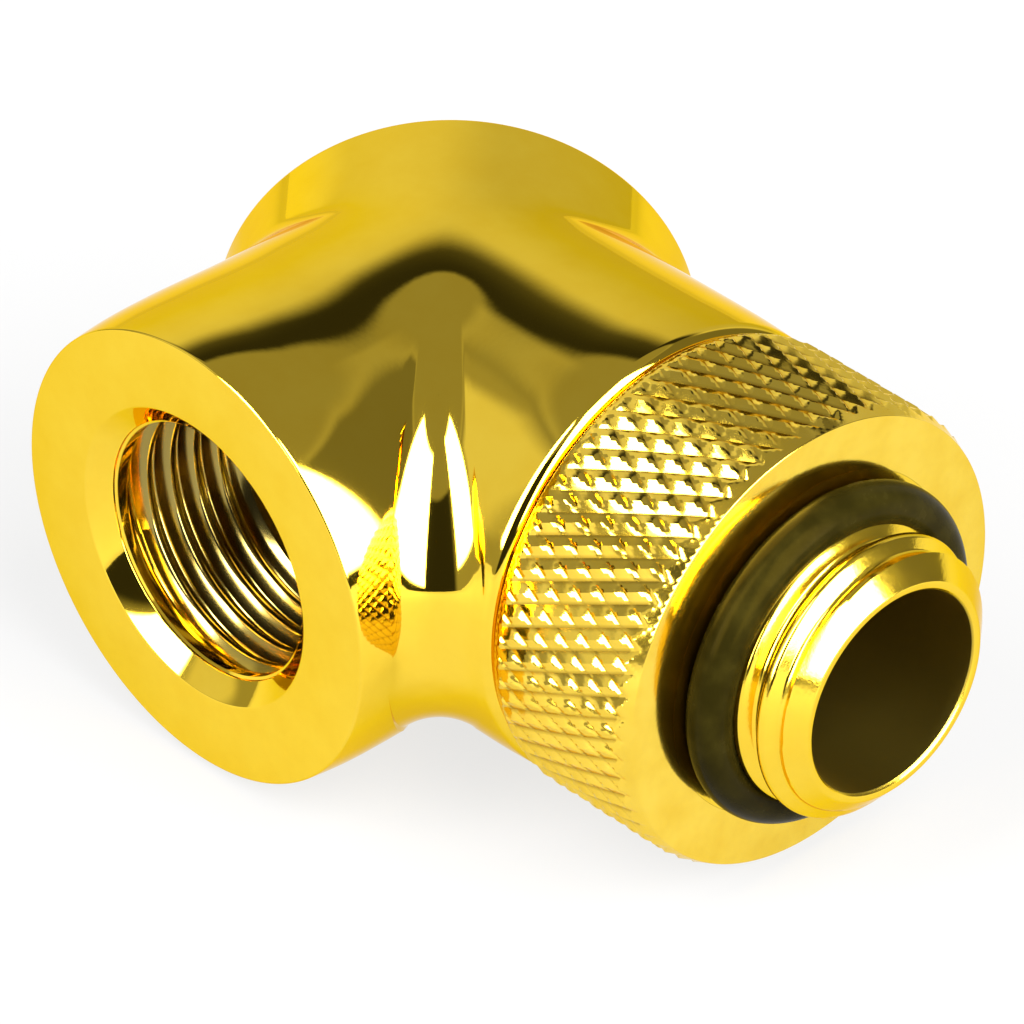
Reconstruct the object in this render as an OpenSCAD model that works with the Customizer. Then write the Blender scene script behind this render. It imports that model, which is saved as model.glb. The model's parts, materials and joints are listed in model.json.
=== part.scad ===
// Rotary three-way fitting with two female ports and one swivelling male thread.
// Origin: centre of the sealing face, on the male thread's axis. +X leaves along that
// thread, the front port opens towards -Y, and the three arms lie in the XY plane.

/* [Body] */
// Outside diameter of the three arms
arm_d = 21; // [19.8:0.1:26]
// Crossing of the arm axes to the front port's face
front_reach = 14.7; // [13.5:0.1:20]
// Crossing of the arm axes to the rear port's face
rear_reach = 7.6; // [7.5:0.1:14]
// Crossing of the arm axes to the end of the swivel arm
swivel_reach = 13.55; // [13:0.05:18]
// Angle that the rear arm turns away from the swivel arm
rear_angle = 135; // [120:5:150]
// Bevel on the rims of the arms
rim_bevel = 0.25; // [0.1:0.05:0.5]
// Bore that joins the three arms
flow_d = 9.8; // [7:0.1:10]

/* [Thread] */
// Major diameter of the pipe thread
thread_major_d = 13.16; // [12.5:0.02:13.6]
// Minor diameter of the ports' thread
thread_minor_d = 11.7; // [11.44:0.02:11.88]
// Pitch of the pipe thread
thread_pitch = 1.337; // [1:0.001:1.5]
// Crest diameter of the male thread
male_crest_d = 12.7; // [12.5:0.02:13.1]
// Root diameter of the male thread
male_root_d = 11.5; // [11.3:0.02:11.6]
// Whole turns in the front port
front_turns = 5; // [3:1:5]
// Whole turns in the rear port
rear_turns = 4; // [3:1:4]
// Plain land between a port's countersink and its thread
port_land = 0.45; // [0.2:0.05:0.6]
// Depth of a port's countersink
port_sink = 0.75; // [0.3:0.05:0.9]
// Diameter of a port's countersink at the face
sink_d = 13.8; // [13.6:0.1:15]

/* [Male stem] */
// Sealing face to the end of the male thread
nose_reach = 4.85; // [4.5:0.05:6.5]
// Bore through the stem
stem_bore_d = 9.3; // [7:0.1:9.6]
// Bevel on the end of the male thread
nose_bevel = 0.5; // [0.3:0.05:0.7]
// Whole turns of the male thread
male_turns = 2; // [1:1:2]
// Diameter of the hub inside the collar
hub_d = 15.8; // [15.2:0.1:17.5]
// Diameter of the shoulder that stops the collar
shoulder_d = 17.8; // [17.6:0.1:19]
// Thickness of that shoulder
shoulder_t = 1.2; // [0.8:0.1:2]

/* [Collar] */
// Outside diameter over the knurl
collar_d = 21.2; // [20.4:0.1:26]
// Length of the collar
collar_l = 8.2; // [6:0.1:12]
// Bevel on the collar's two rims
collar_bevel = 0.15; // [0.05:0.05:0.4]
// Bite of the collar on the hub, on the diameter
press_bite = 0.02; // [0:0.01:0.04]

/* [Swivel] */
// Diameter of the stem's tail
tail_d = 13.6; // [13:0.05:14]
// Radial clearance of the tail in its socket
tail_play = 0.05; // [0.02:0.01:0.1]
// Free length behind the tail's end
tail_end_gap = 0.3; // [0.1:0.05:0.6]
// Gap between the body and the collar
swivel_gap = 0.2; // [0.15:0.01:0.3]
// Axial play on each side of the slip washer and the spring ring
axial_play = 0.03; // [0.01:0.01:0.04]
// Width of each seal groove
seal_groove_w = 1.6; // [1.4:0.05:1.6]
// Depth of each seal groove
seal_groove_depth = 1.1; // [0.9:0.05:1.15]
// Land between one groove and the next
land_w = 0.5; // [0.4:0.05:0.5]
// Thickness of the spring ring
ring_t = 0.8; // [0.6:0.05:0.9]
// How far the spring ring stands out of the tail
ring_catch = 0.5; // [0.3:0.05:0.6]
// Width of the split in the spring ring
ring_split = 2.4; // [1.5:0.1:4]

/* [Face seal] */
// Thickness of the face O-ring's cord
face_cord_d = 2; // [1.8:0.05:2.1]
// Gap between the face O-ring and the thread's neck
face_seal_gap = 0.05; // [0:0.01:0.1]

/* [Hidden] */
$fn = 96;

arm_r = arm_d / 2;
major_r = thread_major_d / 2;
minor_r = thread_minor_d / 2;
crest_r = male_crest_d / 2;
root_r = male_root_d / 2;
stem_bore_r = stem_bore_d / 2;
hub_r = hub_d / 2;
shoulder_r = shoulder_d / 2;
tail_r = tail_d / 2;
socket_r = tail_r + tail_play;
// Whitworth form: both flanks lean by the same angle
flank_angle = 27.5;
// Places along the male axis, counted from the sealing face
collar_back = -collar_l;
body_face = collar_back - swivel_gap;
centre_x = body_face - swivel_reach;
// Grooves in the tail, from the body's face inwards
front_groove = body_face - land_w;
rear_groove = front_groove - seal_groove_w - land_w;
ring_groove = rear_groove - seal_groove_w - land_w;
ring_groove_w = ring_t + 2 * axial_play;
tail_end = ring_groove - ring_groove_w - land_w;
socket_end = tail_end - tail_end_gap;
ring_groove_r = tail_r - seal_groove_depth;
// The spring ring's room in the body
catch_r = tail_r + ring_catch;
catch_play = 0.15;
catch_groove_w = ring_groove_w + 2 * catch_play;
face_seal_r = root_r + face_seal_gap + face_cord_d / 2;
// Radius of the round pocket where the three flow bores cross
pocket_r = flow_d / 2 + 0.4;
overcut = 1;

// Turns a shape built along +Z so that it runs along +X
module along_x(x = 0) {
    translate([x, 0, 0]) rotate([0, 90, 0]) children();
}

// Puts a shape built outwards along +Z on an arm that leaves the crossing at the given angle
module on_arm(angle) {
    translate([centre_x, 0, 0]) rotate([0, 0, angle]) rotate([0, 90, 0]) children();
}

// Solid arm from the crossing out to its bevelled rim
module arm(reach) {
    cylinder(h = reach - rim_bevel, r = arm_r);
    translate([0, 0, reach - rim_bevel]) cylinder(h = rim_bevel, r1 = arm_r, r2 = arm_r - rim_bevel);
}

// Outline of one side of a row of thread ridges, each half crest and half valley between its flanks
function ridges(turns, start, low, high) =
    let (flank_w = (high - low) * tan(flank_angle), crest_w = thread_pitch / 2 - flank_w) [
        for (turn = [0 : turns - 1], z = start + turn * thread_pitch)
            each [[low, z], [high, z + flank_w], [high, z + flank_w + crest_w], [low, z + 2 * flank_w + crest_w]]
    ];

// What a threaded port takes out of its arm
module port_cut(reach, turns) {
    thread_top = reach - port_sink - port_land;
    thread_l = turns * thread_pitch;
    cylinder(h = reach, r = flow_d / 2);
    translate([0, 0, thread_top - thread_l]) rotate_extrude()
        polygon(concat([[0, 0]], ridges(turns, 0, minor_r, major_r),
                       [[minor_r, thread_l + port_land + overcut], [0, thread_l + port_land + overcut]]));
    translate([0, 0, reach - port_sink]) cylinder(h = port_sink, r1 = minor_r, r2 = sink_d / 2);
    translate([0, 0, reach]) cylinder(h = overcut, r = sink_d / 2);
}

// Ring around the male axis with a rectangular section
module ring_x(x, length, inner_r, outer_r) {
    along_x(x) difference() {
        cylinder(h = length, r = outer_r);
        translate([0, 0, -overcut]) cylinder(h = length + 2 * overcut, r = inner_r);
    }
}

// Rubber ring squeezed between a groove's root and the wall around it
module squeezed_ring(x, width, root_r, wall_r) {
    cord_r = (wall_r - root_r) / 2;
    flat_w = width - 2 * cord_r;
    along_x(x) rotate_extrude() {
        translate([root_r + cord_r, width / 2 - flat_w / 4]) circle(r = cord_r);
        translate([root_r + cord_r, width / 2 + flat_w / 4]) circle(r = cord_r);
        translate([root_r, width / 2 - flat_w / 4]) square([2 * cord_r, flat_w / 2]);
    }
}

module body() {
    color("gold") difference() {
        union() {
            on_arm(0) arm(swivel_reach);
            on_arm(-90) arm(front_reach);
            on_arm(rear_angle) arm(rear_reach);
        }
        on_arm(-90) port_cut(front_reach, front_turns);
        on_arm(rear_angle) port_cut(rear_reach, rear_turns);
        on_arm(0) cylinder(h = swivel_reach, r = flow_d / 2);
        on_arm(0) sphere(r = pocket_r);
        along_x(socket_end) cylinder(h = body_face - socket_end + overcut, r = socket_r);
        along_x(ring_groove - ring_groove_w - catch_play) cylinder(h = catch_groove_w, r = catch_r + catch_play);
    }
}

module threaded_stem() {
    thread_start = nose_reach - nose_bevel - male_turns * thread_pitch;
    color("goldenrod") difference() {
        union() {
            along_x() rotate_extrude()
                polygon(concat([[0, -overcut], [root_r, -overcut]],
                               ridges(male_turns, thread_start, root_r, crest_r),
                               [[root_r, nose_reach - nose_bevel], [root_r - nose_bevel, nose_reach],
                                [0, nose_reach]]));
            along_x(collar_back) cylinder(h = collar_l, r = hub_r);
            along_x(collar_back) cylinder(h = shoulder_t, r = shoulder_r);
            along_x(tail_end) cylinder(h = collar_back - tail_end, r = tail_r);
        }
        along_x(tail_end - overcut) cylinder(h = nose_reach - tail_end + 2 * overcut, r = stem_bore_r);
        ring_x(front_groove - seal_groove_w, seal_groove_w, tail_r - seal_groove_depth, tail_r + overcut);
        ring_x(rear_groove - seal_groove_w, seal_groove_w, tail_r - seal_groove_depth, tail_r + overcut);
        ring_x(ring_groove - ring_groove_w, ring_groove_w, ring_groove_r, tail_r + overcut);
    }
}

module knurled_collar() {
    collar_r = collar_d / 2;
    color("gold") difference() {
        union() {
            along_x(collar_back + collar_bevel) cylinder(h = collar_l - 2 * collar_bevel, r = collar_r);
            along_x(collar_back) cylinder(h = collar_bevel, r1 = collar_r - collar_bevel, r2 = collar_r);
            along_x(-collar_bevel) cylinder(h = collar_bevel, r1 = collar_r, r2 = collar_r - collar_bevel);
        }
        along_x(collar_back - overcut) cylinder(h = collar_l + 2 * overcut, r = hub_r - press_bite / 2);
        along_x(collar_back - overcut) cylinder(h = shoulder_t + overcut, r = shoulder_r);
    }
}

module face_o_ring() {
    color("dimgray") along_x(face_cord_d / 2) rotate_extrude()
        translate([face_seal_r, 0]) circle(r = face_cord_d / 2);
}

module swivel_seal(groove) {
    color("dimgray") squeezed_ring(groove - seal_groove_w, seal_groove_w, tail_r - seal_groove_depth,
                                   socket_r - tail_play / 2);
}

module front_swivel_seal() {
    swivel_seal(front_groove);
}

module rear_swivel_seal() {
    swivel_seal(rear_groove);
}

module retaining_ring() {
    ring_inner_r = ring_groove_r + axial_play;
    color("silver") difference() {
        ring_x(ring_groove - axial_play - ring_t, ring_t, ring_inner_r, catch_r);
        along_x(ring_groove - ring_groove_w)
            translate([-catch_r - overcut, -ring_split / 2, 0]) cube([catch_r + overcut, ring_split, ring_groove_w]);
    }
}

module thrust_washer() {
    color("whitesmoke") ring_x(body_face, swivel_gap - axial_play, tail_r + tail_play, shoulder_r);
}

body();
threaded_stem();
knurled_collar();
face_o_ring();
front_swivel_seal();
rear_swivel_seal();
retaining_ring();
thrust_washer();
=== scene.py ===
"""Rotary three-way pipe fitting.

A polished body has two threaded ports, and a male thread in a knurled collar swivels in its third arm. Meshes are
worked out in millimetres in the part's frame, and turned into metres when a piece is finished.
"""

import json
import logging
import math
from collections.abc import Callable
from dataclasses import dataclass, field
from enum import Enum
from typing import Any

import bmesh
import bpy
from mathutils import Matrix, Vector
from mathutils.bvhtree import BVHTree


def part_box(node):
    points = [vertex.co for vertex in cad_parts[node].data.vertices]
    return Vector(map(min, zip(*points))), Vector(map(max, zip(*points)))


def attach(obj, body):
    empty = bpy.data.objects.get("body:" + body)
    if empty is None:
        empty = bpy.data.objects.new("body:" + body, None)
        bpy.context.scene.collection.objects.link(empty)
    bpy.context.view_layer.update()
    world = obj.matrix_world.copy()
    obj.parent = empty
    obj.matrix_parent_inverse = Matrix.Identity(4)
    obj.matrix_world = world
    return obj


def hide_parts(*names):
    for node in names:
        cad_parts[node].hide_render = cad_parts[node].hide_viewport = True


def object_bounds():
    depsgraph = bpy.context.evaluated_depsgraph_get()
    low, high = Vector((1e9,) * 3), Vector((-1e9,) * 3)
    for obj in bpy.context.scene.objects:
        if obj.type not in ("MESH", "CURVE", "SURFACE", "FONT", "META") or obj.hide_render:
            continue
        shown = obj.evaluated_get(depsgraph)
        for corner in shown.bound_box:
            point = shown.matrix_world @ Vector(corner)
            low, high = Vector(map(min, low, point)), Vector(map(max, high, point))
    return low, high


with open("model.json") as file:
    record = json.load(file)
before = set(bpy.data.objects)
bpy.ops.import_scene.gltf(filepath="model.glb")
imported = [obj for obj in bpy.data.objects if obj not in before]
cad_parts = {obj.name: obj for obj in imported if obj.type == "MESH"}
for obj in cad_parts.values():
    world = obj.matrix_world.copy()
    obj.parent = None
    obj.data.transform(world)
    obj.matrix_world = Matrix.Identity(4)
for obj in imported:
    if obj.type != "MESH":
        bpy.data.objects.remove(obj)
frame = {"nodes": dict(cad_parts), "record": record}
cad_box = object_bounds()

LOG = logging.getLogger("fitting")
MM = 0.001
# Room under the part, in metres, so that it doesn't sink into the floor
FLOOR_GAP = 0.0002
FULL_TURN = 2 * math.pi
# Working tolerances, in millimetres
MERGE = 0.002
LOOP_TOLERANCE = 0.003
CUT_TOLERANCE = 1e-5
SLIVER = 1e-4
# Gap between a thread and the plain wall next to it, and how far in and out its two loops are looked for
SEAM = 0.03
SEAM_REACH = 0.1
# Smallest divisor, and smallest angle in radians, that a saddle is worked out with
TINY = 1e-6
TINY_ANGLE = 1e-4
# Name of the vertex attribute that marks bores and grooves, where shade is painted
HOLLOW = "hollow"
WHITE = (1.0, 1.0, 1.0, 1.0)
UP = Vector((0.0, 0.0, 1.0))
ALONG = Vector((1.0, 0.0, 0.0))


class Bodies(Enum):
    """The two rigid bodies that the swivel joins."""

    FITTING = "fitting_body"
    SWIVEL = "swivel"


class Slot(Enum):
    """Material slots of the record for the rebuilt pieces."""

    BODY = "polished_plating"
    THREAD = "thread_plating"
    COLLAR = "collar_plating"
    RUBBER = "seal_rubber"


def linear(code: str) -> tuple[float, float, float, float]:
    """Turns an sRGB hex colour into linear light.

    Args:
        code: colour as "#RRGGBB".

    Returns:
        Linear red, green, blue and an alpha of one.
    """
    parts = [int(code[i : i + 2], 16) / 255 for i in (1, 3, 5)]
    red, green, blue = (p / 12.92 if p <= 0.04045 else ((p + 0.055) / 1.055) ** 2.4 for p in parts)
    return red, green, blue, 1.0


def smooth(value: float, low: float, high: float) -> float:
    """Rises smoothly from nothing at low to one at high.

    Args:
        value: the place on the ramp.
        low: where the ramp starts.
        high: where the ramp ends.

    Returns:
        A share from 0 to 1.
    """
    t = min(1.0, max(0.0, (value - low) / (high - low)))
    return t * t * (3 - 2 * t)


# ---------------------------------------------------------------- turning


@dataclass
class Outline:
    """Half section of a turned shape: stations along its axis with their radii, in millimetres."""

    points: list[tuple[float, float]] = field(default_factory=list)
    eased: dict[int, float] = field(default_factory=dict)

    def to(self, station: float, radius: float, ease: float = 0.0) -> "Outline":
        """Adds a corner.

        Args:
            station: place along the axis.
            radius: distance from the axis.
            ease: how far the corner is rounded back along both of its sides.

        Returns:
            The outline itself, so that corners can be chained.
        """
        if ease > 0:
            self.eased[len(self.points)] = ease
        self.points.append((station, radius))
        return self

    def turn(self, bm: bmesh.types.BMesh, steps: int) -> None:
        """Spins the outline once round the X axis.

        Args:
            bm: mesh that the turned surface is added to.
            steps: number of facets round the axis.
        """
        verts = [bm.verts.new((station, 0.0, radius)) for station, radius in self.points]
        wire = set(verts) | {bm.edges.new(pair) for pair in zip(verts, verts[1:])}
        for index, ease in self.eased.items():
            made = bmesh.ops.bevel(bm, geom=[verts[index]], affect="VERTICES", offset=ease, offset_type="OFFSET",
                                   segments=5, profile=0.5, material=-1)
            wire |= set(made["verts"]) | set(made["edges"])
        wire = {item for item in wire if item.is_valid}
        wire |= {edge for item in wire if isinstance(item, bmesh.types.BMVert) for edge in item.link_edges}
        bmesh.ops.spin(bm, geom=list(wire), cent=(0, 0, 0), axis=ALONG, dvec=(0, 0, 0), angle=FULL_TURN, steps=steps,
                       use_merge=True, use_normal_flip=False, use_duplicate=False)


def slice_across(bm: bmesh.types.BMesh, station: float, side: int, trim: bool = True) -> None:
    """Cuts a mesh along a plane across the X axis.

    Args:
        bm: the mesh.
        station: place of the plane.
        side: 1 or -1, the side of the plane that counts as outside.
        trim: whether what lies outside is taken away.
    """
    bmesh.ops.bisect_plane(bm, geom=bm.verts[:] + bm.edges[:] + bm.faces[:], dist=CUT_TOLERANCE,
                           plane_co=(station, 0, 0), plane_no=(side, 0, 0), clear_outer=trim, clear_inner=False)


@dataclass(frozen=True)
class Thread:
    """Pipe thread between rounded crests and roots, in millimetres.

    Its run-out is a share of the pitch, and its fade is how far inside its ends it starts to rise.
    """

    low: float
    high: float
    pitch: float = 1.337
    flank_angle: float = 27.5
    ease: float = 0.12
    run_out: float = 0.75
    fade: float = 0.02

    def cut(self, start: float, end: float, crest_at: float, plain: float, fades: tuple[bool, bool], steps: int,
            limit: Callable[[float], float] | None = None) -> bmesh.types.BMesh:
        """Spins the ridge into a helix and trims it to length.

        Args:
            start: station of the first clean end.
            end: station of the other one.
            crest_at: station of a crest above the axis.
            plain: radius that the thread runs out to.
            fades: whether the thread runs out at its start and at its end.
            steps: facets in one turn.
            limit: largest radius at a station, for a chamfered end.

        Returns:
            A new mesh round the X axis, with one loop at each end.
        """
        bm = bmesh.new()
        flank = (self.high - self.low) * math.tan(math.radians(self.flank_angle))
        flat = (self.pitch / 2 - flank) / 2
        first = crest_at - self.pitch * math.ceil((crest_at - start) / self.pitch + 2)
        turns = math.ceil((end - first) / self.pitch) + 2
        corners = []
        for turn in range(turns):
            middle = first + turn * self.pitch
            for offset, radius in ((-flat - flank, self.low), (-flat, self.high),
                                   (flat, self.high), (flat + flank, self.low)):
                corners.append(bm.verts.new((middle + offset, 0.0, radius)))
        for pair in zip(corners, corners[1:]):
            bm.edges.new(pair)
        bmesh.ops.bevel(bm, geom=corners[1:-1], affect="VERTICES", offset=self.ease, offset_type="OFFSET",
                        segments=3, profile=0.5, material=-1)
        bmesh.ops.spin(bm, geom=bm.verts[:] + bm.edges[:], cent=(0, 0, 0), axis=ALONG,
                       dvec=(self.pitch / steps, 0, 0), angle=FULL_TURN, steps=steps, use_merge=False,
                       use_normal_flip=False, use_duplicate=False)
        bmesh.ops.remove_doubles(bm, verts=bm.verts, dist=MERGE)
        slice_across(bm, start, -1)
        slice_across(bm, end, 1)
        run = self.run_out * self.pitch
        for vert in bm.verts:
            radius = math.hypot(vert.co.y, vert.co.z)
            share = 1.0
            if fades[0]:
                share *= smooth(vert.co.x, start + self.fade, start + run)
            if fades[1]:
                share *= 1 - smooth(vert.co.x, end - run, end - self.fade)
            wanted = plain + (radius - plain) * share
            if limit is not None:
                wanted = min(wanted, limit(vert.co.x))
            vert.co.y *= wanted / radius
            vert.co.z *= wanted / radius
        return bm


def end_loop(bm: bmesh.types.BMesh, station: float, inner: float, outer: float) -> list[bmesh.types.BMEdge]:
    """Finds the open edges that lie in one plane across the X axis.

    Args:
        bm: mesh with open ends.
        station: place of the plane.
        inner: smallest radius that counts.
        outer: largest radius that counts.

    Returns:
        The open edges of that loop.
    """
    return [edge for edge in bm.edges
            if len(edge.link_faces) == 1
            and all(abs(vert.co.x - station) < LOOP_TOLERANCE and inner < math.hypot(vert.co.y, vert.co.z) < outer
                    for vert in edge.verts)]


def bridge(bm: bmesh.types.BMesh, one: float, other: float, inner: float, outer: float = math.inf) -> None:
    """Closes the gap between two open loops round the X axis.

    Args:
        bm: mesh that holds both loops.
        one: station of the first loop.
        other: station of the second loop.
        inner: smallest radius that counts.
        outer: largest radius that counts.
    """
    edges = end_loop(bm, one, inner, outer) + end_loop(bm, other, inner, outer)
    bmesh.ops.bridge_loops(bm, edges=edges, use_pairs=False, use_cyclic=False, use_merge=False, merge_factor=0.5,
                           twist_offset=0)


def add_mesh(bm: bmesh.types.BMesh, other: bmesh.types.BMesh, place: Matrix | None = None) -> None:
    """Moves one mesh into another and frees it.

    Args:
        bm: mesh that grows.
        other: mesh that is taken over.
        place: where it goes, or None to leave it where it is.
    """
    if place is not None:
        bmesh.ops.transform(other, matrix=place, verts=other.verts)
    carrier = bpy.data.meshes.new("carrier")
    other.to_mesh(carrier)
    other.free()
    bm.from_mesh(carrier)
    bpy.data.meshes.remove(carrier)


def finish_piece(bm: bmesh.types.BMesh, name: str, body: Bodies, slot: Slot, nodes: tuple[str, ...],
                 sharp: float = 32.0, hollow: Callable[[Vector], float] | None = None) -> bpy.types.Object:
    """Turns a mesh in millimetres into a piece that rides on its body and stands for its CAD nodes.

    Args:
        bm: the mesh, in the part's frame.
        name: name of the piece.
        body: the body that it moves with.
        slot: the record's slot for the piece; not used.
        nodes: CAD nodes that it replaces.
        sharp: angle in degrees above which an edge stays crisp.
        hollow: how far a point in millimetres lies inside a bore or groove, from 0 to 1, which sets the painted shade
            there.

    Returns:
        The new object.
    """
    bmesh.ops.remove_doubles(bm, verts=bm.verts, dist=MERGE)
    bmesh.ops.dissolve_degenerate(bm, edges=bm.edges, dist=SLIVER)
    bmesh.ops.recalc_face_normals(bm, faces=bm.faces)
    open_edges = sum(1 for edge in bm.edges if len(edge.link_faces) != 2)
    depth = bm.verts.layers.float.new(HOLLOW)
    for vert in bm.verts:
        vert[depth] = hollow(vert.co) if hollow else 0.0
    bmesh.ops.scale(bm, vec=(MM, MM, MM), verts=bm.verts)
    mesh = bpy.data.meshes.new(name)
    bm.to_mesh(mesh)
    bm.free()
    mesh.shade_smooth()
    mesh.set_sharp_from_angle(angle=math.radians(sharp))
    piece = bpy.data.objects.new(name, mesh)
    bpy.context.scene.collection.objects.link(piece)
    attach(piece, body.value)
    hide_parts(*nodes)
    LOG.info("%s: %d faces, %d edges not closed", name, len(mesh.polygons), open_edges)
    return piece


# ---------------------------------------------------------------- finishes


def add_node(tree: bpy.types.NodeTree, kind: str, links: dict[str, Any] | None = None,
             **settings: Any) -> bpy.types.Node:
    """Adds a node, sets its properties and inputs, and links it.

    Args:
        tree: the node tree.
        kind: the node's type name.
        links: input name or index to a value, or to the socket that feeds it.
        settings: properties of the node itself.

    Returns:
        The new node.
    """
    node = tree.nodes.new(kind)
    for key, value in settings.items():
        setattr(node, key, value)
    for key, value in (links or {}).items():
        socket = node.inputs[int(key) if key.isdigit() else key]
        if isinstance(value, bpy.types.NodeSocket):
            tree.links.new(value, socket)
        else:
            socket.default_value = value
    return node


def blank_material(name: str) -> tuple[bpy.types.Material, bpy.types.NodeTree]:
    """Makes an empty node material.

    Args:
        name: its name.

    Returns:
        The material and its node tree.
    """
    material = bpy.data.materials.new(name)
    material.use_nodes = True
    material.node_tree.nodes.clear()
    return material, material.node_tree


@dataclass(frozen=True)
class Plating:
    """Gold plating on turned brass, under a trace of clear lacquer.

    A metal, so all of its colour is in its reflection, and it pales towards a grazing view. The lacquer adds a faint
    white glint over the yellow one. In bores and grooves it is duller, and painted darker and greyer as shade. The
    tool's grain is finer than a tenth of a millimetre on the real thing, and is drawn coarser here so that it shows.
    """

    name: str
    bright: str = "#F4CF40"
    deep: str = "#F1CA3A"
    edge: str = "#F9E08A"
    roughness: float = 0.035
    rough_spread: float = 0.02
    cloud_mm: float = 2.2
    grain_mm: float = 0.25
    grain_height_mm: float = 0.0004
    ripple_mm: float = 3.0
    ripple_height_mm: float = 0.0012
    lacquer: float = 0.08
    # Painted shade colour and duller roughness for bores and grooves
    hollow_shade_colour: str = "#978546"
    hollow_roughness: float = 0.16

    def make(self) -> bpy.types.Material:
        """Builds the material.

        Returns:
            The finished material.
        """
        material, tree = blank_material(self.name)
        place = add_node(tree, "ShaderNodeTexCoord").outputs["Object"]
        tone = add_node(tree, "ShaderNodeTexNoise",
                        {"Vector": place, "Scale": 1 / (self.cloud_mm * MM), "Detail": 3.0, "Roughness": 0.6})
        spots = add_node(tree, "ShaderNodeTexNoise",
                         {"Vector": place, "Scale": 1 / (self.grain_mm * MM), "Detail": 2.0, "Roughness": 0.5})
        ripple = add_node(tree, "ShaderNodeTexNoise",
                          {"Vector": place, "Scale": 1 / (self.ripple_mm * MM), "Detail": 1.0, "Roughness": 0.4})
        share = add_node(tree, "ShaderNodeMapRange",
                         {"Value": tone.outputs["Fac"], "From Min": 0.35, "From Max": 0.7}).outputs["Result"]
        colour = add_node(tree, "ShaderNodeMix", {"0": share, "6": linear(self.bright), "7": linear(self.deep)},
                          data_type="RGBA").outputs[2]
        rough = add_node(tree, "ShaderNodeMapRange",
                         {"Value": tone.outputs["Fac"], "From Min": 0.3, "From Max": 0.75,
                          "To Min": self.roughness, "To Max": self.roughness + self.rough_spread}).outputs["Result"]
        # Painted shade: the hollow share darkens and greys the colour in bores and grooves, and dulls the finish
        # there
        hollow = add_node(tree, "ShaderNodeAttribute", attribute_name=HOLLOW).outputs["Fac"]
        colour = add_node(tree, "ShaderNodeMix", {"0": hollow, "6": colour, "7": linear(self.hollow_shade_colour)},
                          data_type="RGBA").outputs[2]
        rough = add_node(tree, "ShaderNodeMix", {"0": hollow, "2": rough, "3": self.hollow_roughness},
                         data_type="FLOAT").outputs[0]
        swell = add_node(tree, "ShaderNodeBump",
                         {"Height": ripple.outputs["Fac"], "Strength": 1.0, "Distance": self.ripple_height_mm * MM})
        bump = add_node(tree, "ShaderNodeBump",
                        {"Height": spots.outputs["Fac"], "Strength": 1.0, "Distance": self.grain_height_mm * MM,
                         "Normal": swell.outputs["Normal"]})
        shader = add_node(tree, "ShaderNodeBsdfPrincipled",
                          {"Base Color": colour, "Metallic": 1.0, "Roughness": rough,
                           "Normal": bump.outputs["Normal"], "Specular Tint": linear(self.edge),
                           "Coat Weight": self.lacquer, "Coat Roughness": 0.03, "Coat IOR": 1.5})
        add_node(tree, "ShaderNodeOutputMaterial", {"Surface": shader.outputs["BSDF"]})
        return material


@dataclass(frozen=True)
class Nitrile:
    """Moulded nitrile rubber: near black, with a soft, weak and warm gloss and a faint cloudy bloom."""

    name: str = "moulded_nitrile"
    base: str = "#110E02"
    bloom: str = "#1B1704"
    gloss: str = "#E4BC38"
    ior: float = 1.1
    roughness: float = 0.2
    rough_spread: float = 0.12
    cloud_mm: float = 1.6
    grain_mm: float = 0.12

    def make(self) -> bpy.types.Material:
        """Builds the material.

        Returns:
            The finished material.
        """
        material, tree = blank_material(self.name)
        place = add_node(tree, "ShaderNodeTexCoord").outputs["Object"]
        cloud = add_node(tree, "ShaderNodeTexNoise",
                         {"Vector": place, "Scale": 1 / (self.cloud_mm * MM), "Detail": 4.0, "Roughness": 0.6})
        grain = add_node(tree, "ShaderNodeTexNoise",
                         {"Vector": place, "Scale": 1 / (self.grain_mm * MM), "Detail": 2.0, "Roughness": 0.5})
        share = add_node(tree, "ShaderNodeMapRange",
                         {"Value": cloud.outputs["Fac"], "From Min": 0.4, "From Max": 0.75}).outputs["Result"]
        colour = add_node(tree, "ShaderNodeMix", {"0": share, "6": linear(self.base), "7": linear(self.bloom)},
                          data_type="RGBA").outputs[2]
        rough = add_node(tree, "ShaderNodeMapRange",
                         {"Value": cloud.outputs["Fac"], "From Min": 0.3, "From Max": 0.8,
                          "To Min": self.roughness, "To Max": self.roughness + self.rough_spread}).outputs["Result"]
        bump = add_node(tree, "ShaderNodeBump",
                        {"Height": grain.outputs["Fac"], "Strength": 0.6, "Distance": 0.004 * MM})
        shader = add_node(tree, "ShaderNodeBsdfPrincipled",
                          {"Base Color": colour, "Roughness": rough, "Normal": bump.outputs["Normal"],
                           "IOR": self.ior, "Specular Tint": linear(self.gloss)})
        add_node(tree, "ShaderNodeOutputMaterial", {"Surface": shader.outputs["BSDF"]})
        return material


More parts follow.
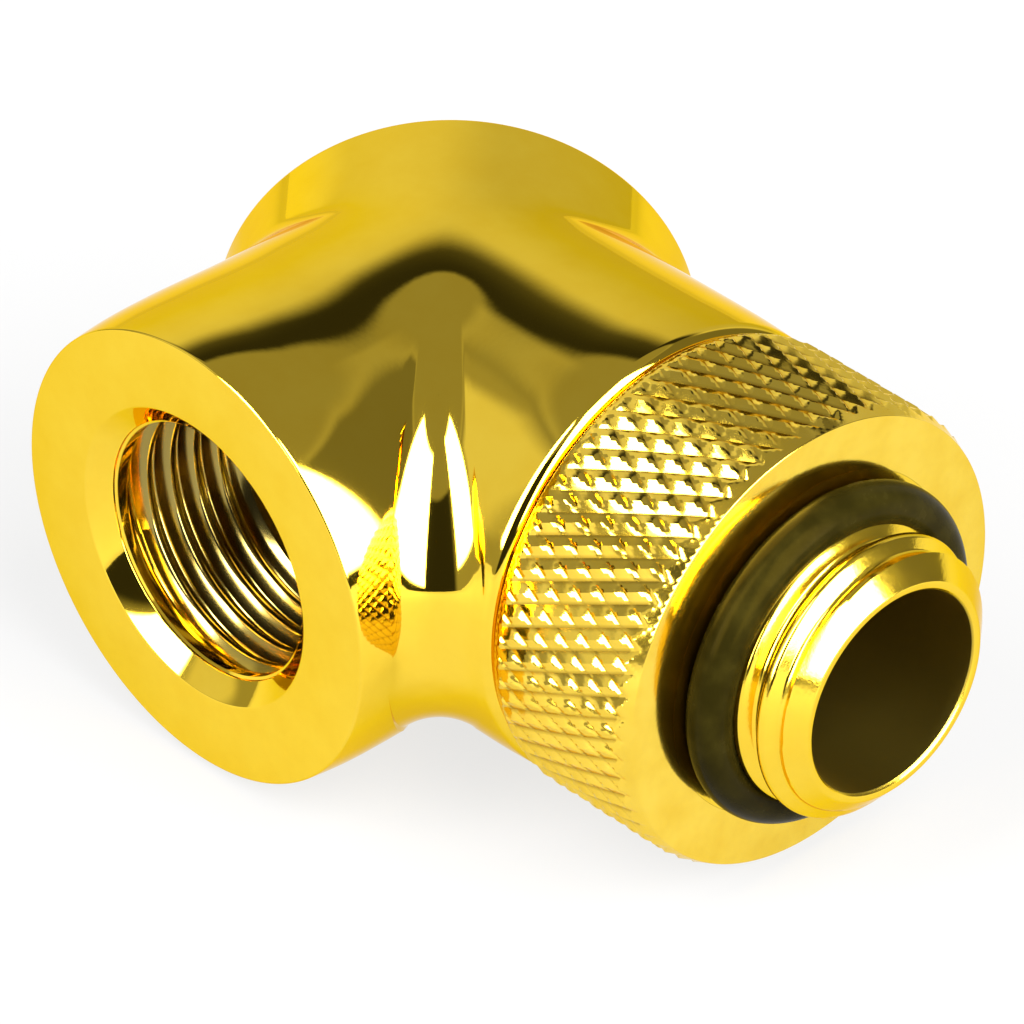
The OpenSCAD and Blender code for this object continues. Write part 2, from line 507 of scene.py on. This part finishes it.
@dataclass(frozen=True)
class Stock:
    """Plain stock for the hidden pieces, marked by the tool that made it: spring wire or skived plastic."""

    name: str
    base: str
    streak: str
    metallic: float
    roughness: float
    streak_mm: float = 0.15

    def make(self) -> bpy.types.Material:
        """Builds the material.

        Returns:
            The finished material.
        """
        material, tree = blank_material(self.name)
        place = add_node(tree, "ShaderNodeTexCoord").outputs["Object"]
        drawn = add_node(tree, "ShaderNodeMapping", {"Vector": place, "Scale": (1.0, 0.15, 0.15)})
        lines = add_node(tree, "ShaderNodeTexNoise",
                         {"Vector": drawn.outputs["Vector"], "Scale": 1 / (self.streak_mm * MM), "Detail": 3.0})
        colour = add_node(tree, "ShaderNodeMix",
                          {"0": lines.outputs["Fac"], "6": linear(self.base), "7": linear(self.streak)},
                          data_type="RGBA").outputs[2]
        rough = add_node(tree, "ShaderNodeMapRange",
                         {"Value": lines.outputs["Fac"], "From Min": 0.3, "From Max": 0.7,
                          "To Min": self.roughness, "To Max": self.roughness + 0.15}).outputs["Result"]
        bump = add_node(tree, "ShaderNodeBump",
                        {"Height": lines.outputs["Fac"], "Strength": 0.5, "Distance": 0.002 * MM})
        shader = add_node(tree, "ShaderNodeBsdfPrincipled",
                          {"Base Color": colour, "Metallic": self.metallic, "Roughness": rough,
                           "Normal": bump.outputs["Normal"]})
        add_node(tree, "ShaderNodeOutputMaterial", {"Surface": shader.outputs["BSDF"]})
        return material


def dress(piece: bpy.types.Object, material: bpy.types.Material) -> None:
    """Gives a piece one material.

    Args:
        piece: the piece, or a CAD node that is kept.
        material: its finish.
    """
    if piece.material_slots:
        for slot in piece.material_slots:
            slot.material = material
    else:
        piece.data.materials.append(material)


# ---------------------------------------------------------------- body


@dataclass(frozen=True)
class Arm:
    """One arm of the body, with its lengths counted from the arms' crossing, in millimetres.

    The polished sheets end at the two stops, outside and in the flow passage, and the lining takes over there.
    """

    heading: float
    reach: float
    outer_stop: float
    inner_stop: float
    swell: float = 0.0
    crown: float = 0.0
    swell_shares: tuple[float, float] = (0.4, 0.75)
    crown_share: float = 0.2

    @property
    def along(self) -> Vector:
        """Direction that the arm points in."""
        angle = math.radians(self.heading)
        return Vector((math.cos(angle), math.sin(angle), 0.0))

    def extra(self, station: float) -> float:
        """How far the polished outside stands off a true cylinder.

        Args:
            station: distance from the crossing.

        Returns:
            Millimetres outwards.
        """
        worn = max(0.0, station - (1 - self.crown_share) * self.reach) / (self.crown_share * self.reach)
        low, high = (share * self.reach for share in self.swell_shares)
        return self.swell * smooth(station, low, high) - self.crown * worn * worn


@dataclass(frozen=True)
class Port:
    """One port in millimetres: turns of thread, rounding of its rim, and the station of a crest above the axis."""

    turns: int
    rim: float
    crest_at: float


@dataclass
class FittingBody:
    """Three polished arms that blend into one another, two with ports and one with the swivel's socket."""

    centre: float
    front: Arm
    rear: Arm
    swivel: Arm
    front_port: Port = Port(turns=5, rim=0.1, crest_at=0.3)
    rear_port: Port = Port(turns=3, rim=0.28, crest_at=0.0)
    arm_radius: float = 10.5
    fillet: float = 2.85
    flow_radius: float = 4.9
    flow_fillet: float = 0.25
    minor_radius: float = 5.85
    major_radius: float = 6.58
    sink_radius: float = 6.9
    sink_depth: float = 0.75
    sink_step: float = 0.12
    land: float = 0.45
    socket_radius: float = 6.85
    socket_rim: float = 0.5
    catch_stations: tuple[float, float] = (9.0, 7.84)
    catch_radius: float = 7.45
    polish_spot: float = 1.2
    polish_rings: int = 5
    polish_ring_gap: float = 0.45
    polish_top: tuple[float, float] = (0.78, 0.95)
    polish_out: tuple[float, float] = (4.0, 7.0)
    # Reach of the bores' painted shade and duller finish: radius, depth in the socket, and length of its ramp
    dull_shade_radius: float = 7.6
    dull_shade_socket: float = 0.4
    dull_shade_length: float = 1.2
    rows: int = 96
    across: int = 20

    def saddle(self, bm: bmesh.types.BMesh, one: Arm, other: Arm, outside: bool) -> None:
        """Lays one smooth sheet from arm to arm over the gap between them.

        Its three strips are the side of one arm, the fillet and the side of the other arm.

        Args:
            bm: mesh that it is added to.
            one: first arm.
            other: next arm.
            outside: whether this is the outside or the wall of the flow passage.
        """
        radius = self.arm_radius if outside else self.flow_radius
        wanted = self.fillet if outside else self.flow_fillet
        stops = (one.outer_stop, other.outer_stop) if outside else (one.inner_stop, other.inner_stop)
        headings = (one.along, other.along)
        bisector = (headings[0] + headings[1]).normalized()
        half = math.acos(max(-1.0, min(1.0, headings[0].dot(bisector))))
        sides = [(bisector - h * h.dot(bisector)).normalized() for h in headings]
        grid = bmesh.ops.create_grid(bm, x_segments=3 * self.across, y_segments=self.rows, size=0.5)
        for vert in grid["verts"]:
            lean = vert.co.y * math.pi
            flat, rise = max(0.0, math.cos(lean)), math.sin(lean)
            room = [stop * math.tan(half) / max(flat, TINY) - radius for stop in stops]
            ease = min(wanted, *room)
            outwards = [side * flat + UP * rise for side in sides]
            contact = (radius + ease) * flat / math.tan(half)
            share = (vert.co.x + 0.5) * 3
            if share <= 1 or share >= 2:
                index = 0 if share <= 1 else 1
                t = 1 - share if index == 0 else share - 2
                station = contact + (stops[index] - contact) * t
                grown = (one, other)[index].extra(station) if outside else 0.0
                vert.co = headings[index] * station + outwards[index] * (radius + grown)
            else:
                ball = headings[0] * contact + outwards[0] * (radius + ease)
                turn = outwards[0].angle(outwards[1], 0.0)
                t = share - 1
                mixed = outwards[0]
                if turn > TINY_ANGLE:
                    mixed = outwards[0] * math.sin((1 - t) * turn) + outwards[1] * math.sin(t * turn)
                    mixed /= math.sin(turn)
                vert.co = ball - mixed * ease

    def polish(self, bm: bmesh.types.BMesh) -> None:
        """Rounds the creases that run together above and below the crossing, as a soft mop does.

        Each point takes the mean height of the spot around it, raised by what a plain cylinder would lose.

        Args:
            bm: mesh that holds the outside's sheets.
        """
        sheets = BVHTree.FromBMesh(bm)
        spot = [(0.0, 0.0, 1.0)]
        for ring in range(1, self.polish_rings + 1):
            out = ring * self.polish_spot * self.polish_ring_gap
            weight = math.exp(-0.5 * (out / self.polish_spot) ** 2)
            count = 6 * ring
            turns = [FULL_TURN * (step + ring / 2) / count for step in range(count)]
            spot += [(out * math.cos(turn), out * math.sin(turn), weight) for turn in turns]
        total = sum(weight for _, _, weight in spot)
        lost = sum(weight * (x * x + y * y) for x, y, weight in spot) / total / (4 * self.arm_radius)
        for vert in bm.verts:
            side = math.copysign(1.0, vert.co.z)
            share = smooth(abs(vert.co.z) / self.arm_radius, *self.polish_top)
            share *= 1 - smooth(math.hypot(vert.co.x, vert.co.y), *self.polish_out)
            if share > 0:
                found = height = 0.0
                for x, y, weight in spot:
                    start = Vector((vert.co.x + x, vert.co.y + y, side * 2 * self.arm_radius))
                    hit = sheets.ray_cast(start, UP * -side)[0]
                    if hit is not None:
                        found += weight
                        height += weight * hit.z
                vert.co.z += share * (height / found + side * lost - vert.co.z)

    def line_port(self, arm: Arm, port: Port) -> bmesh.types.BMesh:
        """Turns a threaded port: rim, face, countersink, land, thread and the step to the flow bore.

        Args:
            arm: the arm that it opens.
            port: its thread and its rim.

        Returns:
            The lining, round the X axis.
        """
        bm = bmesh.new()
        thread = Thread(self.minor_radius, self.major_radius)
        rim_radius = self.arm_radius + arm.extra(arm.outer_stop)
        face_radius = self.arm_radius + arm.extra(arm.reach)
        sink = arm.reach - self.sink_depth
        mouth = sink - self.land
        bottom = mouth - port.turns * thread.pitch
        lining = Outline().to(arm.outer_stop, rim_radius).to(arm.reach, face_radius, port.rim)
        lining.to(arm.reach, self.sink_radius, 0.05).to(sink, self.minor_radius + self.sink_step, 0.03)
        lining.to(sink - 0.1, self.minor_radius + self.sink_step).to(sink - 0.16, self.minor_radius)
        lining.to(mouth, self.minor_radius)
        lining.turn(bm, 2 * self.rows)
        add_mesh(bm, thread.cut(bottom, mouth - SEAM, port.crest_at, self.minor_radius, (True, True), 2 * self.rows))
        step = Outline().to(bottom - SEAM, self.minor_radius).to(arm.inner_stop, self.minor_radius, 0.1)
        step.to(arm.inner_stop, self.flow_radius)
        step.turn(bm, 2 * self.rows)
        for station in (mouth, bottom):
            bridge(bm, station, station - SEAM, self.minor_radius - SEAM_REACH, self.minor_radius + SEAM_REACH)
        return bm

    def line_socket(self) -> bmesh.types.BMesh:
        """Turns the swivel's socket with the groove that its spring ring catches in.

        Returns:
            The lining, round the X axis.
        """
        bm = bmesh.new()
        arm = self.swivel
        mouth_side, bottom_side = self.catch_stations
        lining = Outline().to(arm.outer_stop, self.arm_radius + arm.extra(arm.outer_stop))
        lining.to(arm.reach, self.arm_radius + arm.extra(arm.reach), self.socket_rim)
        lining.to(arm.reach, self.socket_radius, 0.08).to(mouth_side, self.socket_radius)
        lining.to(mouth_side, self.catch_radius).to(bottom_side, self.catch_radius)
        lining.to(bottom_side, self.socket_radius).to(arm.inner_stop, self.socket_radius)
        lining.to(arm.inner_stop, self.flow_radius)
        lining.turn(bm, 2 * self.rows)
        return bm

    def hollow(self, point: Vector) -> float:
        """Tells the bored walls from the polished outside.

        Args:
            point: a place on the body, in millimetres.

        Returns:
            One inside a thread or bore, and zero outside.
        """
        # This share paints shade on the threads, bores and socket walls, and dulls their finish
        from_centre = point - Vector((self.centre, 0, 0))
        threaded = self.sink_depth + self.land
        for arm, mouth in ((self.front, threaded), (self.rear, threaded), (self.swivel, self.dull_shade_socket)):
            station = from_centre.dot(arm.along)
            off = (from_centre - arm.along * station).length
            if off < self.dull_shade_radius and -1.0 < station < arm.reach - mouth + 0.01:
                if off < self.flow_radius + 0.1:
                    return 1.0
                return smooth(arm.reach - mouth - station, 0.0, self.dull_shade_length)
        return 0.0

    def build(self) -> bpy.types.Object:
        """Joins the sheets and the linings into one closed skin.

        Returns:
            The finished body.
        """
        bm = bmesh.new()
        arms = (self.swivel, self.rear, self.front)
        for outside in (True, False):
            for index, arm in enumerate(arms):
                self.saddle(bm, arm, arms[(index + 1) % len(arms)], outside)
            if outside:
                bmesh.ops.remove_doubles(bm, verts=bm.verts, dist=MERGE)
                self.polish(bm)
        linings = ((self.line_port(self.front, self.front_port), self.front),
                   (self.line_port(self.rear, self.rear_port), self.rear), (self.line_socket(), self.swivel))
        for lining, arm in linings:
            add_mesh(bm, lining, Matrix.Rotation(math.radians(arm.heading), 4, "Z"))
        bmesh.ops.translate(bm, vec=(self.centre, 0, 0), verts=bm.verts)
        return finish_piece(bm, "polished_body", Bodies.FITTING, Slot.BODY, ("body",), 24.0, self.hollow)

    def dress(self, piece: bpy.types.Object) -> None:
        """Polishes and plates the body."""
        dress(piece, Plating("polished_gold_plating").make())


# ---------------------------------------------------------------- swivel


@dataclass
class KnurledCollar:
    """Turned collar with a rolled diamond knurl between two plain chamfers, in millimetres."""

    back: float
    front: float
    radius: float = 10.6
    bore: float = 7.89
    shoulder: float = 8.9
    shoulder_depth: float = 1.2
    teeth: int = 62
    axial_period: float = 2.2
    groove_depth: float = 0.2
    across_places: tuple[float, ...] = (0.0, 0.16, 0.33, 0.5, 0.67, 0.84, 1.0)
    steep_places: tuple[float, ...] = (0.0, 0.14, 0.3, 0.5, 0.7, 0.86, 1.0)
    steep_floor: float = 0.12
    steep_width: float = 0.3
    groove_shades: tuple[float, float] = (0.7, 1.15)
    chamfer_length: float = 0.75
    chamfer_height: float = 0.3
    chamfer_cuts: int = 5
    edge: float = 0.05
    seam: float = 0.01
    weld: float = 0.01

    def ridge(self, across: float, steep: float) -> float:
        """Height of the knurl in one diamond: a sharp ridge, notched by the shallower steep grooves.

        Args:
            across: place from 0 to 1 between two of the deep grooves.
            steep: place from 0 to 1 between two of the shallow ones.

        Returns:
            Height from 0 in the deep groove to 1 on the crest.
        """
        flank = 1 - abs(2 * across - 1)
        notch = self.steep_floor + (1 - self.steep_floor) * min(steep, 1 - steep) / self.steep_width
        return min(flank, notch, 1.0)

    def hollow(self, point: Vector) -> float:
        """Tells the knurl's grooves from the tops of its diamonds.

        Args:
            point: a place on the collar, in millimetres.

        Returns:
            Depth in the groove, from 0 to 1.
        """
        # The groove depth share paints shade in the grooves and dulls their finish
        if not self.back + self.chamfer_length < point.x < self.front - self.chamfer_length:
            return 0.0
        light, dark = (share * self.groove_depth for share in self.groove_shades)
        return smooth(self.radius - math.hypot(point.y, point.z), light, dark)

    def knurl(self) -> bmesh.types.BMesh:
        """Rolls one raised diamond round the collar and along it.

        Returns:
            The knurled outside, trimmed to the two chamfers.
        """
        bm = bmesh.new()
        cells = len(self.across_places) - 1
        half_period = self.axial_period / 2
        grid = bmesh.ops.create_grid(bm, x_segments=cells, y_segments=cells, size=0.5)
        for vert in grid["verts"]:
            across, steep = (round((c + 0.5) * cells) for c in (vert.co.x, vert.co.y))
            a, b = self.across_places[across] - 0.5, self.steep_places[steep] - 0.5
            lift = self.radius - self.groove_depth * (1 - self.ridge(a + 0.5, b + 0.5))
            turn = (a - b) * math.pi / self.teeth
            station = (a + b) * half_period
            vert.co = Vector((station, -lift * math.sin(turn), lift * math.cos(turn)))
        bmesh.ops.spin(bm, geom=bm.verts[:] + bm.edges[:] + bm.faces[:], cent=(0, 0, 0), axis=ALONG, dvec=(0, 0, 0),
                       angle=FULL_TURN * (self.teeth - 1) / self.teeth, steps=self.teeth - 1, use_merge=False,
                       use_normal_flip=False, use_duplicate=True)
        rows = math.ceil((self.front - self.back) / half_period) + 2
        bmesh.ops.translate(bm, vec=(self.back - half_period, 0, 0), verts=bm.verts)
        bmesh.ops.spin(bm, geom=bm.verts[:] + bm.edges[:] + bm.faces[:], cent=(0, 0, 0), axis=ALONG,
                       dvec=(half_period, 0, 0), angle=math.pi / self.teeth * (rows - 1), steps=rows - 1,
                       use_merge=False, use_normal_flip=False, use_duplicate=True)
        bmesh.ops.remove_doubles(bm, verts=bm.verts, dist=self.weld)
        slice_across(bm, self.back + self.edge, -1)
        slice_across(bm, self.front - self.edge, 1)
        for cut in range(1, self.chamfer_cuts + 1):
            inwards = self.edge + (self.chamfer_length - self.edge) * cut / self.chamfer_cuts
            for station in (self.back + inwards, self.front - inwards):
                slice_across(bm, station, 1, trim=False)
        for vert in bm.verts:
            from_end = min(vert.co.x - self.back, self.front - vert.co.x)
            share = (from_end - self.edge) / (self.chamfer_length - self.edge)
            limit = self.radius - self.chamfer_height * (1 - share)
            radius = math.hypot(vert.co.y, vert.co.z)
            if radius > limit:
                vert.co.y *= limit / radius
                vert.co.z *= limit / radius
        return bm

    def build(self) -> bpy.types.Object:
        """Adds the faces and the bore.

        Returns:
            The finished collar.
        """
        bm = self.knurl()
        low = self.radius - self.chamfer_height
        inner = self.back + self.shoulder_depth
        front_edge, back_edge = self.front - self.edge, self.back + self.edge
        blank = Outline().to(front_edge + self.seam, low).to(self.front, low, 0.04)
        blank.to(self.front, self.bore).to(inner, self.bore).to(inner, self.shoulder)
        blank.to(self.back, self.shoulder, 0.05).to(self.back, low, 0.04).to(back_edge - self.seam, low)
        blank.turn(bm, 3 * self.teeth)
        bridge(bm, front_edge, front_edge + self.seam, low - 0.05)
        bridge(bm, back_edge, back_edge - self.seam, low - 0.05)
        return finish_piece(bm, "knurled_collar_skin", Bodies.SWIVEL, Slot.COLLAR, ("knurled_collar",), 20.0,
                            self.hollow)

    def dress(self, piece: bpy.types.Object) -> None:
        """Plates the knurl, duller in its grooves."""
        # Its grooves are duller, and painted darker as shade
        dress(piece, Plating("knurled_gold_plating", bright="#F5D24C", deep="#EDC63C", edge="#FBEAA8",
                             roughness=0.07, rough_spread=0.07, grain_mm=0.16, grain_height_mm=0.0015, lacquer=0.25,
                             hollow_shade_colour="#A88418", hollow_roughness=0.2).make())


@dataclass
class MaleStem:
    """Turned stem: male thread and nose in front, hub in the collar, and the grooved tail in the socket."""

    hub_back: float
    root_radius: float = 5.75
    crest_radius: float = 6.33
    bore: float = 4.65
    hub: float = 7.9
    shoulder: float = 8.9
    shoulder_depth: float = 1.2
    tail: float = 6.8
    groove_radius: float = 5.7
    grooves: tuple[tuple[float, float], ...] = ((-8.9, -10.5), (-11.0, -12.6), (-13.1, -13.96))
    tail_end: float = -14.46
    thread_start: float = 0.7
    nose: float = 4.85
    nose_edge: float = 0.06
    lip: float = 5.04
    cone_slope: float = 1.1375
    crest_at: float = 1.68
    crest_ease: float = 0.11
    seam: float = 0.01
    facets: int = 192

    def cone(self, station: float) -> float:
        """Radius of the nose's chamfer at a station, in millimetres."""
        return self.lip + self.cone_slope * (self.nose - station)

    def hollow(self, point: Vector) -> float:
        """Tells the bore from the outside: one in it, zero elsewhere."""
        # The bore gets painted shade and a duller finish
        return 1.0 if math.hypot(point.y, point.z) < self.bore + 0.05 and point.x < self.nose - 0.1 else 0.0

    def build(self) -> bpy.types.Object:
        """Turns the stem and its helix.

        Returns:
            The finished stem.
        """
        bm = bmesh.new()
        end = self.nose - self.nose_edge
        inner = self.hub_back + self.shoulder_depth
        thread = Thread(self.root_radius, self.crest_radius, ease=self.crest_ease)
        add_mesh(bm, thread.cut(self.thread_start, end, self.crest_at, self.root_radius, (True, False), self.facets,
                                self.cone))
        blank = Outline().to(self.thread_start - SEAM, self.root_radius).to(0.0, self.root_radius)
        blank.to(0.0, self.hub).to(inner, self.hub).to(inner, self.shoulder)
        blank.to(self.hub_back, self.shoulder, 0.05).to(self.hub_back, self.tail)
        for near, far in self.grooves:
            blank.to(near, self.tail, 0.04).to(near, self.groove_radius).to(far, self.groove_radius)
            blank.to(far, self.tail, 0.04)
        blank.to(self.tail_end, self.tail, 0.2).to(self.tail_end, self.bore, 0.1)
        blank.to(self.nose - 0.12, self.bore).to(self.nose, self.bore + 0.12, 0.04)
        blank.to(self.nose, self.lip, 0.05).to(end + self.seam, self.cone(end + self.seam))
        blank.turn(bm, self.facets)
        bridge(bm, self.thread_start, self.thread_start - SEAM, self.root_radius - SEAM_REACH,
               self.root_radius + SEAM_REACH)
        bridge(bm, end, end + self.seam, self.lip - 0.05)
        return finish_piece(bm, "threaded_stem_skin", Bodies.SWIVEL, Slot.THREAD, ("threaded_stem",), 28.0,
                            self.hollow)

    def dress(self, piece: bpy.types.Object) -> None:
        """Plates the stem, a little grainy from the tool."""
        # Its bore is painted darker as shade
        dress(piece, Plating("turned_gold_plating", roughness=0.09, rough_spread=0.1, grain_mm=0.18,
                             grain_height_mm=0.004, ripple_height_mm=0.002, hollow_shade_colour="#84722C",
                             hollow_roughness=0.37).make())


@dataclass
class FaceSeal:
    """O-ring on the collar's face, round the neck of the thread, in millimetres."""

    centre_radius: float = 6.8
    cord_radius: float = 1.0
    cord_facets: int = 40
    ring_facets: int = 160

    def build(self) -> bpy.types.Object:
        """Spins the round cord.

        Returns:
            The finished ring.
        """
        bm = bmesh.new()
        turned = Matrix.Translation((self.cord_radius, 0, self.centre_radius)) @ Matrix.Rotation(math.pi / 2, 4, "X")
        cord = bmesh.ops.create_circle(bm, cap_ends=False, radius=self.cord_radius, segments=self.cord_facets,
                                       matrix=turned)
        bmesh.ops.spin(bm, geom=cord["verts"] + bm.edges[:], cent=(0, 0, 0), axis=ALONG, dvec=(0, 0, 0),
                       angle=FULL_TURN, steps=self.ring_facets, use_merge=True, use_normal_flip=False,
                       use_duplicate=False)
        return finish_piece(bm, "face_seal_ring", Bodies.SWIVEL, Slot.RUBBER, ("face_o_ring",))

    def dress(self, piece: bpy.types.Object) -> None:
        """Leaves the ring in bare rubber."""
        dress(piece, Nitrile().make())


@dataclass
class InnerParts:
    """The pieces inside the swivel, which keep the shapes that they already have."""

    nodes: dict[str, bpy.types.Object]

    def dress(self) -> None:
        """Gives the seals, the spring ring and the slip washer their own stock."""
        rubber = Nitrile("moulded_nitrile_inner", grain_mm=0.1).make()
        steel = Stock("drawn_spring_steel", "#8E8F92", "#6E6F73", 1.0, 0.25).make()
        plastic = Stock("skived_ptfe", "#E4E3DC", "#D2D0C6", 0.0, 0.4, 0.3).make()
        finishes = {"front_swivel_seal": rubber, "rear_swivel_seal": rubber, "retaining_ring": steel,
                    "thrust_washer": plastic}
        for name, finish in finishes.items():
            dress(self.nodes[name], finish)
            LOG.info("%s: CAD shape kept", name)


# ---------------------------------------------------------------- studio


@dataclass(frozen=True)
class Panel:
    """A soft panel of light round the object, placed by direction in degrees.

    Azimuth 0 is towards -Y and 90 towards +X. Panels that overlap add up.
    """

    azimuth: float
    elevation: float
    half_width: float
    half_height: float
    brightness: float
    blur: float = 4.0


@dataclass
class Studio:
    """Pale floor, soft panels all round, and the camera, in metres.

    The floor glows most under the object, out to the near distance, and falls to its far glow.
    """

    floor_height: float
    panels: tuple[Panel, ...] = (
        Panel(-141, 4, 46, 34.5, 0.6, 10),
        Panel(-117, 4, 20, 34, 0.24, 24),
        Panel(0, 71, 200, 19.5, 0.3, 3),
        Panel(-47, 16, 56, 36, 0.36, 8),
        Panel(-47, 28, 15, 19, 0.45, 8),
        Panel(150, 26, 34, 27, 0.17, 6),
        Panel(90.5, 37, 30, 31.5, 26.0, 3),
        Panel(-11.5, 41.5, 16.5, 29.5, 26.0, 3),
    )
    ambient: float = 0.03
    floor_half: float = 1.5
    near: float = 0.07
    far: float = 0.4
    near_glow: float = 0.75
    far_glow: float = 0.44
    lens: float = 312.61
    sensor: float = 36.0
    eye_at: tuple[float, float, float] = (0.20761, -0.21071, 0.21894)
    eye_right: tuple[float, float, float] = (0.68385, 0.72962, -0.00277)
    eye_up: tuple[float, float, float] = (-0.42411, 0.40059, 0.8122)
    eye_behind: tuple[float, float, float] = (0.5937, -0.55425, 0.58338)

    def light(self) -> None:
        """Paints the panels round the object as one world."""
        world = bpy.data.worlds.new("soft_panels")
        bpy.context.scene.world = world
        world.use_nodes = True
        tree = world.node_tree
        tree.nodes.clear()
        look = add_node(tree, "ShaderNodeTexCoord").outputs["Generated"]
        parts = add_node(tree, "ShaderNodeSeparateXYZ", {"Vector": look}).outputs
        back = add_node(tree, "ShaderNodeMath", {"0": parts["Y"], "1": -1.0}, operation="MULTIPLY").outputs[0]
        azimuth = add_node(tree, "ShaderNodeMath", {"0": parts["X"], "1": back}, operation="ARCTAN2").outputs[0]
        elevation = add_node(tree, "ShaderNodeMath", {"0": parts["Z"]}, operation="ARCSINE").outputs[0]
        total: Any = self.ambient
        for panel in self.panels:
            shares = []
            for value, middle, half in ((azimuth, panel.azimuth, panel.half_width),
                                        (elevation, panel.elevation, panel.half_height)):
                off = add_node(tree, "ShaderNodeMath", {"0": value, "1": math.radians(middle)}, operation="SUBTRACT")
                near = add_node(tree, "ShaderNodeMath", {"0": off.outputs[0], "1": math.pi, "2": -math.pi},
                                operation="WRAP")
                size = add_node(tree, "ShaderNodeMath", {"0": near.outputs[0]}, operation="ABSOLUTE")
                shares.append(add_node(tree, "ShaderNodeMapRange",
                                       {"Value": size.outputs[0],
                                        "From Min": math.radians(max(0.0, half - panel.blur / 2)),
                                        "From Max": math.radians(half + panel.blur / 2),
                                        "To Min": 1.0, "To Max": 0.0},
                                       interpolation_type="SMOOTHSTEP").outputs["Result"])
            both = add_node(tree, "ShaderNodeMath", {"0": shares[0], "1": shares[1]}, operation="MULTIPLY").outputs[0]
            total = add_node(tree, "ShaderNodeMath", {"0": both, "1": panel.brightness, "2": total},
                             operation="MULTIPLY_ADD").outputs[0]
        light = add_node(tree, "ShaderNodeBackground", {"Color": WHITE, "Strength": total})
        add_node(tree, "ShaderNodeOutputWorld", {"Surface": light.outputs["Background"]})

    def floor(self) -> None:
        """Lays the pale floor."""
        bm = bmesh.new()
        bmesh.ops.create_grid(bm, x_segments=4, y_segments=4, size=self.floor_half)
        mesh = bpy.data.meshes.new("pale_floor")
        bm.to_mesh(mesh)
        bm.free()
        piece = bpy.data.objects.new("pale_floor", mesh)
        piece.location.z = self.floor_height
        bpy.context.scene.collection.objects.link(piece)
        material, tree = blank_material("glowing_paper")
        place = add_node(tree, "ShaderNodeTexCoord").outputs["Object"]
        # Painted light: the paper glows, brightest under the object and dimmer further out
        away = add_node(tree, "ShaderNodeVectorMath", {"0": place}, operation="LENGTH").outputs["Value"]
        glow = add_node(tree, "ShaderNodeMapRange",
                        {"Value": away, "From Min": self.near, "From Max": self.far,
                         "To Min": self.near_glow, "To Max": self.far_glow},
                        interpolation_type="SMOOTHSTEP").outputs["Result"]
        card = add_node(tree, "ShaderNodeBsdfPrincipled",
                        {"Base Color": linear("#303030"), "Roughness": 0.9, "Emission Color": WHITE,
                         "Emission Strength": glow})
        add_node(tree, "ShaderNodeOutputMaterial", {"Surface": card.outputs["BSDF"]})
        dress(piece, material)

    def camera(self) -> None:
        """Sets the camera above and in front of the fitting, with a long lens."""
        data = bpy.data.cameras.new("long_lens")
        data.lens = self.lens
        data.sensor_width = self.sensor
        data.clip_start = 0.01
        data.clip_end = 10.0
        eye = bpy.data.objects.new("long_lens", data)
        turned = Matrix((self.eye_right, self.eye_up, self.eye_behind)).transposed().to_4x4()
        eye.matrix_world = Matrix.Translation(self.eye_at) @ turned
        bpy.context.scene.collection.objects.link(eye)
        bpy.context.scene.camera = eye

    def build(self) -> None:
        """Sets up floor, light and camera."""
        self.floor()
        self.light()
        self.camera()
        bpy.context.scene.view_settings.view_transform = "Standard"
        LOG.info("studio ready")


def main() -> None:
    """Builds the fitting, piece by piece, and the studio round it."""
    logging.basicConfig(level=logging.INFO, format="%(message)s")
    mounts = {mount["name"]: mount for mount in frame["record"]["mounts"]}
    centre = mounts["front_port"]["pos_m"][0] / MM
    body_low, body_high = (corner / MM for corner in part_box("body"))
    collar_low, collar_high = (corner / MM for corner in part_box("knurled_collar"))
    front_reach = -body_low.y
    swivel_reach = body_high.x - centre
    rear_heading = mounts["rear_port"]["axis"]
    rear_angle = math.degrees(math.atan2(rear_heading[1], rear_heading[0]))
    body = FittingBody(
        centre=centre,
        front=Arm(heading=-90, reach=front_reach, outer_stop=front_reach - 0.15, inner_stop=6.6, swell=0.13,
                  crown=0.2),
        rear=Arm(heading=rear_angle, reach=7.6, outer_stop=7.3, inner_stop=2.25),
        swivel=Arm(heading=0, reach=swivel_reach, outer_stop=swivel_reach - 0.55, inner_stop=7.19, swell=0.03,
                   crown=0.12),
    )
    body.dress(body.build())
    collar = KnurledCollar(back=collar_low.x, front=collar_high.x)
    collar.dress(collar.build())
    stem = MaleStem(hub_back=collar_low.x)
    stem.dress(stem.build())
    seal = FaceSeal()
    seal.dress(seal.build())
    InnerParts(frame["nodes"]).dress()
    Studio(floor_height=cad_box[0].z - FLOOR_GAP).build()


if __name__ == "__main__":
    main()
